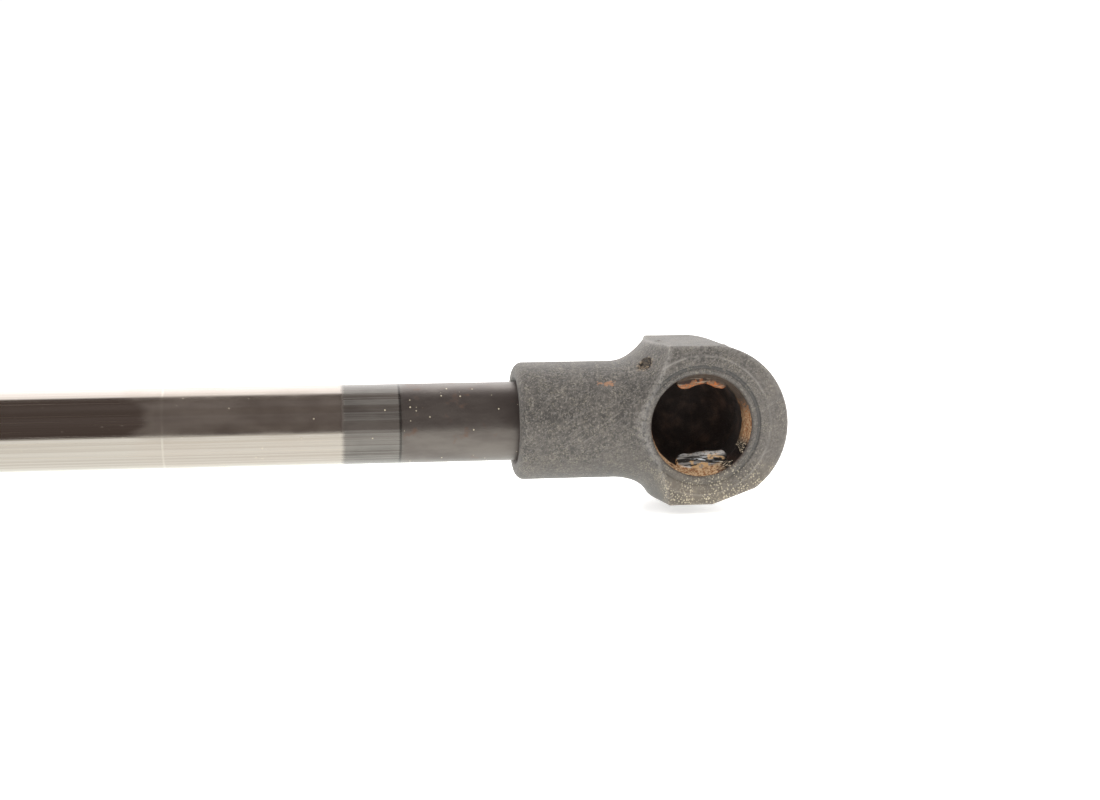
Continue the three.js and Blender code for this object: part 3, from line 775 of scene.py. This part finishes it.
def rusty_spring_steel(prefix, seed, worn):
    """Spring steel: the lower lug streaked with painted highlights and rubbed bright along its tip, orange
    rust on the upper lug with a painted shadow at its root, dried dirt on the band with painted shade over
    its upper part.
    """
    m = Finish(prefix + "_clip_spring_steel")
    stripes = m.noise(1.5, 3, (0.2, 3.0, 3.0), (0, 0.06, 0), seed=seed, distortion=0.35)
    # Streaks: painted highlights on the lower lug, dark streaks on the upper lug, and the pattern of the
    # rags.
    streaks_and_painted_gleams = m.noise(1.5, 3, (0.3, 4.2, 4.2), (0, -0.04, 0), seed=seed + 3, distortion=0.35)
    blotch = m.noise(1.1, 4, seed=seed + 1)
    fine = m.noise(4.5, 4, seed=seed + 2)
    smear = m.fade(blotch, 0.5, 0.58, 0, 0.8)
    lug = m.mark("lug")

    lower_lug = m.layered(
        m.mix(m.fade(stripes, 0.46, 0.58), grey(0.02, 0.08), grey(0.24, 0.05)),
        # Pale streaks on the lower lug: painted highlights.
        (grey(0.7, -0.03), m.fade(streaks_and_painted_gleams, 0.60, 0.66)),
        ((0.62, 0.38, 0.17, 1), smear, m.fade(stripes, 0.40, 0.5)),
    )
    to_tip = m.calc("ADD", m.z, m.spread(blotch, -0.6, 0.6))
    tip_rust = m.mix(m.fade(fine, 0.42, 0.58), RUST_ORANGE, (0.22, 0.12, 0.065, 1))
    upper_lug = m.layered(
        # Dark brown away from the tip, up at the lug's root by the band: a painted shadow of the mouth.
        # Orange rust towards the tip.
        m.mix(m.fade(to_tip, 4.5, 3.8), (0.035, 0.02, 0.014, 1), tip_rust),
        ((0.36, 0.29, 0.21, 1), m.fade(stripes, 0.54, 0.62, 0, 0.6)),
        (grey(0.02, 0.2), m.fade(streaks_and_painted_gleams, 0.40, 0.34, 0, 0.8)),
    )
    # Height up the mouth, with a ragged line, above which the band gets painted shade.
    painted_shade_height = m.calc("ADD", m.z, m.spread(fine, -0.8, 0.8))
    rags = m.mix(m.fade(streaks_and_painted_gleams, 0.52, 0.6), grey(0.015, 0.2), (0.60, 0.50, 0.37, 1))
    band = m.layered(
        m.mix(m.fade(fine, 0.42, 0.56), DIRTY_RUST, DRIED_DIRT),
        (RUST_BROWN, m.fade(blotch, 0.54, 0.66, 0, 0.85)),
        # Redder and darker towards the top of the band: rust, with some painted shade.
        (SHADED_RUST_RED, m.fade(m.z, -4.0, -1.5, 0, 0.4)),
        # Dark over the band's upper part inside the mouth: painted shade.
        (grey(0.035, 0.15), m.fade(painted_shade_height, 0.8, 2.4), 0.9),
        (rags, m.mark("torn"), m.fade(m.z, 0.0, -0.5)),
    )

    rust_on_lug = m.all_of(m.fade(m.z, -0.5, 0.5), 1.0 if worn else 0.35)
    rust_free = m.calc("SUBTRACT", 1.0, rust_on_lug)
    rubbed = m.calc("SUBTRACT", 1.0, m.calc("MULTIPLY", rust_on_lug, 0.8))
    # Inner edge of the lug: rubbed bright, with a painted highlight along it.
    bright = m.all_of(m.mark("worn"), m.fade(fine, 0.35, 0.55), rubbed)
    colour = m.mix(lug, band, m.mix(rust_on_lug, lower_lug, upper_lug))
    colour = m.mix(bright, colour, grey(0.6, 0.03))
    bare = m.all_of(lug, rust_free, m.calc("SUBTRACT", 1.0, smear))
    metallic = m.most_of(m.calc("MULTIPLY", bare, 0.35), m.calc("MULTIPLY", bright, 0.5))
    roughness = m.blend(metallic, 0.8, m.spread(fine, 0.28, 0.5))
    return m.finish(colour, roughness, m.total((stripes, 1.2), (fine, 1)), 0.05, metallic)


# Distances along the rod from the socket's base face, where its zones end. The seal never wipes the
# first two.
MATT_END = 11.6
GRIME_END = 17.0
HAZE_END = 38.0
WIPED_RING = 34.5


def nitrided_rod():
    """Polished nitrided rod: matt, then grimy, then hazy by the socket, and clean beyond."""
    m = Finish("nitrided_rod")
    along = m.calc("SUBTRACT", -SOCKET_REACH, m.x)
    wavy = m.noise(0.35, 2, (0.2, 1, 1))
    streaks = m.noise(1.0, 4, (0.012, 3.2, 3.2), roughness=0.65)
    hairlines = m.noise(1.0, 3, (0.02, 14.0, 14.0), roughness=0.6)
    cloud = m.noise(0.45, 3, (0.4, 1, 1))
    grain = m.noise(6.0, 3)

    wavy_edge = m.calc("ADD", along, m.spread(wavy, -1.2, 1.2))
    ragged_edge = m.calc("ADD", along, m.spread(streaks, -0.08, 0.08))
    matt = m.fade(along, MATT_END + 0.3, MATT_END)
    grimy = m.band(ragged_edge, MATT_END + 0.2, GRIME_END, 0.6)
    past_grime = m.fade(ragged_edge, GRIME_END, GRIME_END + 0.8)
    hazy = m.all_of(past_grime, m.fade(wavy_edge, HAZE_END, HAZE_END - 1.6))
    film = m.all_of(hazy, m.spread(cloud, 0.08, 0.24))
    rusty = m.fade(m.noise(0.55, 4, seed=3), 0.56, 0.70, 0, 0.6)
    specks = m.all_of(m.specks(1.6, 0.16, 0.16), m.fade(along, 45.0, 8.0, 0.1, 1.0))

    steel = m.layered(
        m.mix(m.fade(streaks, 0.38, 0.62), (0.295, 0.263, 0.235, 1), (0.346, 0.316, 0.29, 1)),
        ((0.44, 0.38, 0.31, 1), m.fade(hairlines, 0.60, 0.70, 0, 0.6)),
    )
    dusty = m.layered(
        m.mix(m.fade(cloud, 0.35, 0.65), (0.100, 0.085, 0.078, 1), (0.138, 0.121, 0.110, 1)),
        (DARK_RUST, rusty),
    )
    grime = m.mix(m.fade(streaks, 0.36, 0.66), (0.076, 0.064, 0.057, 1), (0.138, 0.130, 0.119, 1))
    colour = m.layered(
        m.mix(matt, steel, dusty),
        (grime, grimy, m.fade(cloud, 0.35, 0.65, 0.82, 1.0)),
        ((0.36, 0.30, 0.25, 1), film),
        ((0.42, 0.39, 0.35, 1), m.band(along, WIPED_RING, WIPED_RING + 0.1, 0.1), 0.4),
        ((0.03, 0.026, 0.024, 1), m.band(along, MATT_END, MATT_END + 0.15, 0.08), 0.7),
        (CREAM_DUST, specks, 0.85),
    )

    roughness = m.calc("ADD", m.spread(streaks, 0.09, 0.15), m.fade(hairlines, 0.58, 0.7, 0, 0.2))
    roughness = m.blend(matt, roughness, 0.38)
    roughness = m.blend(grimy, roughness, m.fade(streaks, 0.4, 0.6, 0.22, 0.36))
    roughness = m.blend(hazy, roughness, m.spread(cloud, 0.15, 0.24))
    metallic = m.blend(matt, m.blend(m.most_of(film, grimy), 1.0, 0.42), 0.7)
    metallic = m.blend(m.most_of(specks, m.all_of(rusty, matt)), metallic, 0.0)
    scratches = m.fade(hairlines, 0.55, 0.7, 0, 0.35)
    height = m.total((m.all_of(grain, matt), 1), (scratches, -0.3), (specks, 1))
    return m.finish(colour, roughness, height, 0.012, metallic)


def black_paint():
    """Black stoved paint on the tube: faint orange peel, light scuffs, chips at the rolled ends."""
    m = Finish("black_tube_paint", {"Coat Weight": 0.25, "Coat Roughness": 0.12})
    x0, x1, _ = span("pressure_tube")
    peel = m.noise(1.3, 2)
    cloud = m.noise(0.08, 4, (0.4, 1, 1))
    grain = m.noise(2.2, 4)
    scuffs = m.fade(m.noise(1.0, 4, (0.05, 2.4, 2.4), (0, 0.08, 0.05)), 0.63, 0.72)
    rubbed = m.fade(m.noise(0.5, 3, (1.4, 0.25, 0.25)), 0.62, 0.74)
    dust = m.all_of(m.specks(1.8, 0.12, 0.14), m.fade(m.noise(0.2, 3), 0.4, 0.6))
    from_end = m.calc("MINIMUM", m.calc("SUBTRACT", m.x, x0), m.calc("SUBTRACT", x1, m.x))
    chip_noise = m.noise(1.1, 5, seed=2, roughness=0.65)
    worn_through = m.calc("ADD", chip_noise, m.fade(from_end, 3.5, 0.0, -0.2, 0.0))
    chips = m.all_of(m.fade(worn_through, 0.56, 0.585), m.fade(from_end, 9.0, 5.0))

    bare_steel = m.mix(m.fade(grain, 0.45, 0.6), grey(0.30, 0.03), (0.18, 0.08, 0.04, 1))
    colour = m.layered(
        m.mix(m.fade(cloud, 0.35, 0.65), grey(0.010), grey(0.018, 0.03)),
        (grey(0.09, 0.04), scuffs, 0.35),
        (grey(0.12, 0.05), rubbed, 0.12),
        (CREAM_DUST, dust, 0.6),
        (bare_steel, chips),
    )
    roughness = m.blend(m.most_of(scuffs, chips), m.spread(cloud, 0.26, 0.38), 0.5)
    height = m.total((peel, 0.5), (chips, -1.2), (scuffs, -0.25))
    return m.finish(colour, roughness, height, 0.03, m.calc("MULTIPLY", chips, 0.6))


def turned_metal(name, dark, light, tint, roughness, seed=0):
    """Machined metal: fine rings from the lathe, and patches of stain."""
    m = Finish(name)
    along, out = (m.calc("MULTIPLY", value, 9.0) for value in (m.x, m.hypot(m.y, m.z)))
    where = m.add("CombineXYZ", {0: along, 1: out}).outputs[0]
    rings = m.noise(1.0, 3, where=where, seed=seed)
    stain = m.noise(0.55, 4, seed=seed + 1)
    low, high, stained = (tuple(value * t for t in tint) + (1,) for value in (dark, light, dark * 0.45))
    colour = m.layered(m.mix(m.spread(rings, 0, 1), low, high), (stained, m.fade(stain, 0.52, 0.72, 0, 0.55)))
    stain_roughness = m.fade(stain, 0.45, 0.75, roughness, roughness + 0.18)
    return m.finish(colour, m.calc("ADD", m.spread(rings, 0, 0.1), stain_roughness), rings, 0.008, 1.0)


def cast_zinc():
    """Die-cast zinc, with a mottled grey skin."""
    m = Finish("cast_zinc")
    grain = m.noise(1.8, 5, roughness=0.7)
    flow = m.noise(0.4, 4, distortion=1.2)
    colour = m.mix(m.fade(grain, 0.35, 0.65), grey(0.26, -0.02), grey(0.46, -0.03))
    colour = m.mix(m.fade(flow, 0.5, 0.7, 0, 0.5), colour, grey(0.18, 0.02))
    return m.finish(colour, m.spread(grain, 0.36, 0.56), grain, 0.03, 0.9)


def rubber(name, seed, oil):
    """Black nitrile rubber with a fine moulded grain and a film of oil."""
    m = Finish(name, {"Coat Weight": oil, "Coat Roughness": 0.25})
    grain = m.noise(6.0, 3, seed=seed)
    bloom = m.noise(0.7, 4, seed=seed + 1)
    colour = m.mix(m.fade(bloom, 0.45, 0.7), grey(0.011), grey(0.030, 0.03))
    colour = m.layered(colour, (grey(0.2, 0.08), m.specks(3.0, 0.08, 0.2), 0.5))
    return m.finish(colour, m.spread(bloom, 0.48, 0.68), grain, 0.015)


def acetal():
    """Off-white acetal with faint tool marks and oil staining."""
    m = Finish("guide_acetal", {"Subsurface Weight": 0.15, "Subsurface Scale": 0.001})
    rings = m.noise(1.0, 3, (8.0, 0.4, 0.4))
    stain = m.noise(0.5, 4)
    colour = m.mix(m.fade(stain, 0.4, 0.7), (0.70, 0.68, 0.60, 1), (0.52, 0.46, 0.34, 1))
    colour = m.mix(m.fade(rings, 0.5, 0.75, 0, 0.25), colour, (0.42, 0.38, 0.30, 1))
    return m.finish(colour, m.spread(rings, 0.38, 0.52), rings, 0.015)


# ---- Cylinder, rod and piston ----


def dip(x, half, r, depth, steps=24):
    """A rolled groove: a smooth dip about x."""
    t = np.linspace(-1, 1, steps + 1)
    return list(zip(x + half * t, r - depth * (1 + np.cos(pi * t)) / 2))


def threaded(x, angle, start, end):
    """The radius of an M6 thread between start and end, running out at both."""
    runout = np.clip(np.minimum(x - start, end - x) / THREAD_RUNOUT, 0, 1)
    return ROOT_R + (CREST_R - ROOT_R) * tooth(x, angle) * runout


def make_tube():
    """The tube, with both ends rolled in and a bead rolled behind the guide."""
    x0, x1, r = span("pressure_tube")
    bore = r - TUBE_WALL
    bead = x1 - BEAD_FROM_MOUTH
    inner_fillet = LIP_FILLET - TUBE_WALL
    outside = [(x0, LIP_R, 0.35), (x0, r, LIP_FILLET), *dip(bead, BEAD_HALF + 0.5, r, BEAD_DEPTH)]
    outside += [(x1, r, LIP_FILLET), (x1, LIP_R, 0.35), (x1 - TUBE_WALL, LIP_R, 0.2)]
    inside = [(x1 - TUBE_WALL, bore, inner_fillet), *dip(bead, BEAD_HALF, bore, BEAD_DEPTH)[::-1]]
    inside += [(x0 + TUBE_WALL, bore, inner_fillet), (x0 + TUBE_WALL, LIP_R, 0.2)]
    profile = stepped(rounded(outside + inside, steps=8), 6)
    turned_piece("pressure_tube", profile, black_paint(), steps=128)


def make_base_plug():
    """The plug in the closed end, with its threaded stud and the groove for its O-ring."""
    origin = CYLINDER_BALL.x
    x0, x1, r = span("base_plug", origin)
    shoulder = x0 + THREAD_LENGTH
    plug_x = span("pressure_tube", origin)[0] + TUBE_WALL + 0.1
    ring_x0, ring_x1, _ = span("base_plug_o_ring", origin)
    groove0, groove1 = ring_x0 - 0.2, ring_x1 + 0.2
    thread = [(x, CREST_R) for x in np.arange(x0 + 0.1, shoulder - 0.6, THREAD_STEP)]
    profile = [(x0, 0), (x0, ROOT_R, 0.1), *thread, (shoulder - 0.5, RELIEF_R), (shoulder, RELIEF_R)]
    profile += [(shoulder, STUD_SHOULDER_R, 0.2), (plug_x, STUD_SHOULDER_R), (plug_x, r - PLUG_RIM, 0.1)]
    profile += [(plug_x + PLUG_RIM, r, 0.4), (groove0, r, 0.15), (groove0, PLUG_GROOVE_R, 0.3)]
    profile += [(groove1, PLUG_GROOVE_R, 0.3), (groove1, r, 0.15), (x1, r, 0.4), (x1, 0)]

    def stud(x, radius, angle):
        on_thread = (x > x0 + 0.05) & (x < shoulder - 0.55) & (radius > RELIEF_R)
        return np.where(on_thread, threaded(x, angle, x0, shoulder - 0.3), radius)

    steel = turned_metal("base_plug_steel", 0.34, 0.52, (1.0, 0.98, 0.95), 0.28)
    turned_piece("base_plug", rounded(profile), steel, AT_CYLINDER_END, 96, stud)


def make_rod():
    """The rod, with its riveted end in the piston and its thread in the socket."""
    origin = ROD_BALL.x
    x0, x1, r = span("piston_rod", origin)
    shoulder = x1 - THREAD_LENGTH
    rivet_end = span("piston_base_washer", origin)[0] - 0.1
    journal_end = span("piston_stop_washer", origin)[1] + 0.1
    thread_start = shoulder + 1.4
    thread = [(x, CREST_R) for x in np.arange(thread_start, x1 - 0.1, THREAD_STEP)]
    profile = [(x0, 0), (x0 + 0.25, 1.2, 1.0), (x0, 2.2, 0.5), (x0 + 0.1, 3.1, 0.5), (x0 + 0.7, RIVET_R, 0.5)]
    profile += [(rivet_end, RIVET_R), (rivet_end, JOURNAL_R), (journal_end, JOURNAL_R), (journal_end, r, 0.2)]
    body = stepped([(journal_end + 0.5, r), (shoulder - 0.5, r)], 4)
    profile += body[: len(body) // 2 + 1] + [(shoulder, r, 0.3), (shoulder, RELIEF_R, 0.2)]
    profile += [(thread_start - 0.1, RELIEF_R), *thread, (x1, ROOT_R, 0.1), (x1, 0)]

    def screw(x, radius, angle):
        on_thread = (x > thread_start - 0.05) & (radius > RELIEF_R + 0.01)
        return np.where(on_thread, threaded(x, angle, thread_start - 0.2, x1), radius)

    turned_piece("piston_rod", rounded(profile), nitrided_rod(), AT_ROD_END, 128, screw)


def washer(node, inner_r, material, edge=0.12):
    """A flat ring with its edges rounded."""
    x0, x1, r = span(node)
    profile = rounded([(x0, inner_r), (x0, r), (x1, r), (x1, inner_r)], edge)
    turned_piece(node, profile, material)


def soft_ring(node, inner_r, material, steps=28, power=2.6):
    """A rubber ring whose section is between an ellipse and a box, squarer the higher the power."""
    x0, x1, r = span(node)
    angle = -2 * pi * np.arange(steps) / steps
    c, s = (np.copysign(np.abs(v) ** (2 / power), v) for v in (np.cos(angle), np.sin(angle)))
    section = zip((x0 + x1) / 2 + (x1 - x0) / 2 * c, (inner_r + r) / 2 + (r - inner_r) / 2 * s)
    turned_piece(node, list(section), material)


def make_guide_pack():
    """What sits behind the rolled lip: washers, guide, wiper and seal."""
    steel = turned_metal("washer_steel", 0.36, 0.54, (1.0, 0.99, 0.97), 0.26, 3)
    oily_rubber = rubber("seal_rubber", 1, 0.35)
    hole = ROD_HOLE_R
    washer("guide_retaining_washer", LIP_R, steel)
    washer("seal_support_washer", SUPPORT_HOLE_R, steel, 0.2)

    x0, x1, r = span("rod_guide_bush")
    seat_x = x1 - WIPER_SEAT_DEPTH
    bush = [(x0, hole, 0.3), (x0, r, 0.4), (x1, r, 0.4), (x1, WIPER_SEAT_R, 0.2)]
    bush += [(seat_x, WIPER_SEAT_R), (seat_x, hole, 0.3)]
    turned_piece("rod_guide_bush", stepped(rounded(bush), 1), acetal())

    w0, w1, wiper_r = span("dust_wiper")
    lip = w1 - WIPER_LIP
    wiper = [(w0, hole + 0.3, 0.1), (w0, wiper_r, 0.3), (x1, wiper_r), (lip, wiper_r - 0.3, 0.3)]
    wiper += [(lip, hole + WIPER_LIP, 0.5), (w1, hole + 0.3, 0.1), (w1, hole, 0.08), (lip, hole, 0.5)]
    turned_piece("dust_wiper", rounded(wiper), rubber("wiper_rubber", 5, 0.1), steps=112)

    s0, s1, seal_r = span("rod_lip_seal")
    groove = s0 + SEAL_GROOVE_DEPTH
    lip_r, outer_lip_r = hole + SEAL_LIP, seal_r - SEAL_LIP
    seal = [(s0, hole, 0.1), (s0, lip_r, 0.2), (groove, lip_r + SEAL_LIP, 0.7)]
    seal += [(groove, outer_lip_r - SEAL_LIP, 0.7), (s0, outer_lip_r, 0.2), (s0, seal_r, 0.1)]
    seal += [(s1, seal_r, 0.2), (s1, lip_r, 0.2), (s1 - SEAL_LIP, hole, 0.2)]
    turned_piece("rod_lip_seal", rounded(seal, steps=6), oily_rubber)

    soft_ring("base_plug_o_ring", O_RING_INNER_R, oily_rubber)
    soft_ring("piston_ring", PISTON_RING_INNER_R, oily_rubber)


def make_piston():
    """The piston, its valve disc and the washers on either side."""
    steel = turned_metal("piston_washer_steel", 0.36, 0.54, (1.0, 0.99, 0.97), 0.28, 8)
    valve_steel = turned_metal("valve_spring_steel", 0.40, 0.58, (0.97, 0.98, 1.0), 0.18, 9)
    washer("piston_stop_washer", JOURNAL_HOLE_R, steel)
    washer("piston_base_washer", JOURNAL_HOLE_R, steel, 0.2)
    washer("piston_valve_disc", JOURNAL_HOLE_R, valve_steel, 0.1)

    x0, x1, r = span("piston_body")
    groove0, groove1 = (x0 + x1) / 2 - 1.2, (x0 + x1) / 2 + 1.2
    body = [(x0, JOURNAL_HOLE_R, 0.2), (x0, r, 0.5), (groove0, r, 0.1), (groove0, PISTON_GROOVE_R, 0.25)]
    body += [(groove1, PISTON_GROOVE_R, 0.25), (groove1, r, 0.1), (x1, r, 0.5), (x1, JOURNAL_HOLE_R, 0.2)]
    made = turned_piece("piston_body", rounded(body), cast_zinc())
    drill_flow_holes(made, x0, x1)


def drill_flow_holes(made, x0, x1, count=4, hole_r=0.6, centre_r=4.6):
    """Small gas passages through the piston."""
    drill, drill_faces = lathe([(x0 - 1, 0), (x0 - 1, hole_r), (x1 + 1, hole_r), (x1 + 1, 0)], 24)
    vertices, faces = [], []
    for k in range(count):
        angle = 2 * pi * (k + 0.5) / count
        vertices.append(drill + (0, centre_r * cos(angle), centre_r * sin(angle)))
        faces.append(drill_faces + k * len(drill))
    drills = add_mesh("drills", np.concatenate(vertices), np.concatenate(faces))
    merge_seams(drills.data)
    cut = made.modifiers.new("gas_passages", "BOOLEAN")
    cut.operation = "DIFFERENCE"
    cut.object = drills
    made.modifiers.move(len(made.modifiers) - 1, 0)
    cut_mesh = bpy.data.meshes.new_from_object(made.evaluated_get(bpy.context.evaluated_depsgraph_get()))
    made.modifiers.clear()
    made.data = cut_mesh
    bpy.data.objects.remove(drills)


# ---- Stage and light ----

PAPER_WHITE = (1.05, 1.05, 1.05, 1)
FLOOR_HALF = 2000
# The softbox behind runs from its lower edge, above the horizon, to a little short of the zenith.
SOFTBOX_TOP = radians(17)
SOFTBOX_FOOT = sin(radians(20))
TABLE_EDGE = sin(radians(16))  # the table's edge is this far below level
SOFTBOX = (2.75, 2.72, 2.7, 1)
BELOW_BOX = (0.85, 0.84, 0.82, 1)
BELOW_BOX_MIRRORED = (1.9, 1.86, 1.8, 1)  # polished metal mirrors it along its upper edge
OVERHEAD = (2.1, 2.07, 2.02, 1)
FILL_LIGHT = (0.9, 0.89, 0.87, 1)
DIM_ROOM = (0.185, 0.148, 0.134, 1)  # what polished metal mirrors in front
TABLE_GLOW = (2.0, 2.05, 1.95, 1)


def make_floor():
    """A plain white table under the strut."""
    level = cad_box[0].z / MM
    corners = ((-1, -1), (1, -1), (1, 1), (-1, 1))
    floor = add_mesh("floor", [(x * FLOOR_HALF, y * FLOOR_HALF, level) for x, y in corners], [(0, 1, 2, 3)])
    glow = {"Emission Color": PAPER_WHITE, "Emission Strength": 0.5}
    m = Finish("white_table", {"Specular IOR Level": 0.08} | glow)
    colour = m.mix(m.spread(m.noise(0.01, 3), 0, 1), grey(0.90), grey(0.92))
    floor.data.materials.append(m.finish(colour, 0.3))
    floor.visible_glossy = False  # the world's own lower half is what the polished rod mirrors


class Sky(Nodes):
    """The world's light, worked out from the direction that a ray goes in."""

    def __init__(self):
        self.world = bpy.data.worlds.new("studio")
        self.world.use_nodes = True
        self.tree = self.world.node_tree
        direction = self.add("TexCoord").outputs["Generated"]
        _, self.y, self.z = self.add("SeparateXYZ", {0: direction}).outputs


def make_studio():
    """Soft studio light: a softbox behind and above, a white table below, a dim room in front."""
    sky = Sky()
    ray = sky.add("LightPath").outputs
    over_box = sky.total((sky.y, cos(SOFTBOX_TOP)), (sky.z, -sin(SOFTBOX_TOP)))
    below_box = sky.mix(ray["Is Glossy Ray"], BELOW_BOX, BELOW_BOX_MIRRORED)
    behind = sky.mix(sky.fade(sky.z, SOFTBOX_FOOT - 0.05, SOFTBOX_FOOT + 0.1), below_box, SOFTBOX)
    fill = sky.mix(sky.fade(sky.z, 0.4, 0.95), FILL_LIGHT, OVERHEAD)
    room = sky.mix(ray["Is Glossy Ray"], fill, DIM_ROOM)
    light = sky.mix(sky.fade(over_box, -0.04, 0.16), room, behind)
    light = sky.mix(sky.fade(sky.z, -TABLE_EDGE + 0.02, -TABLE_EDGE - 0.02), light, TABLE_GLOW)
    light = sky.mix(ray["Is Camera Ray"], light, PAPER_WHITE)
    sky.put(sky.tree.nodes["Background"].inputs["Color"], light)
    scene.world = sky.world
    scene.view_settings.view_transform = "Standard"


# ---- Camera ----

CAMERA_DISTANCE = 174.8
CAMERA_ANGLES = (-8.69, 7.3, -0.04)  # azimuth, elevation and roll, in degrees
AIM_OFFSET = (14.12, -1.75)  # how far right of and above the middle of the picture the ball lies
PICTURE_WIDTH = 1100
FOCAL_PIXELS = 1700
SENSOR = 36.0


def make_camera():
    """Camera near the rod's ball socket, a little to its left and above it."""
    azimuth, elevation, roll = (radians(angle) for angle in CAMERA_ANGLES)
    turn = Matrix.Rotation(azimuth, 4, "Z") @ Matrix.Rotation(pi / 2 - elevation, 4, "X")
    pose = Matrix.Translation(ROD_BALL) @ turn @ Matrix.Rotation(roll, 4, "Z")
    away = Vector((-AIM_OFFSET[0], -AIM_OFFSET[1], CAMERA_DISTANCE)) * MM
    made = bpy.data.objects.new("camera", bpy.data.cameras.new("camera"))
    scene.collection.objects.link(made)
    made.data.sensor_width = SENSOR
    made.data.lens = SENSOR * FOCAL_PIXELS / PICTURE_WIDTH
    made.data.clip_start = 0.01
    made.matrix_world = pose @ Matrix.Translation(away)
    scene.camera = made


make_camera()
make_floor()
make_studio()
make_tube()
make_base_plug()
make_guide_pack()
make_piston()
make_rod()
socket("rod", AT_ROD_END, 11, worn=True)
socket("cylinder", TURNED_ROUND, 37, worn=False)
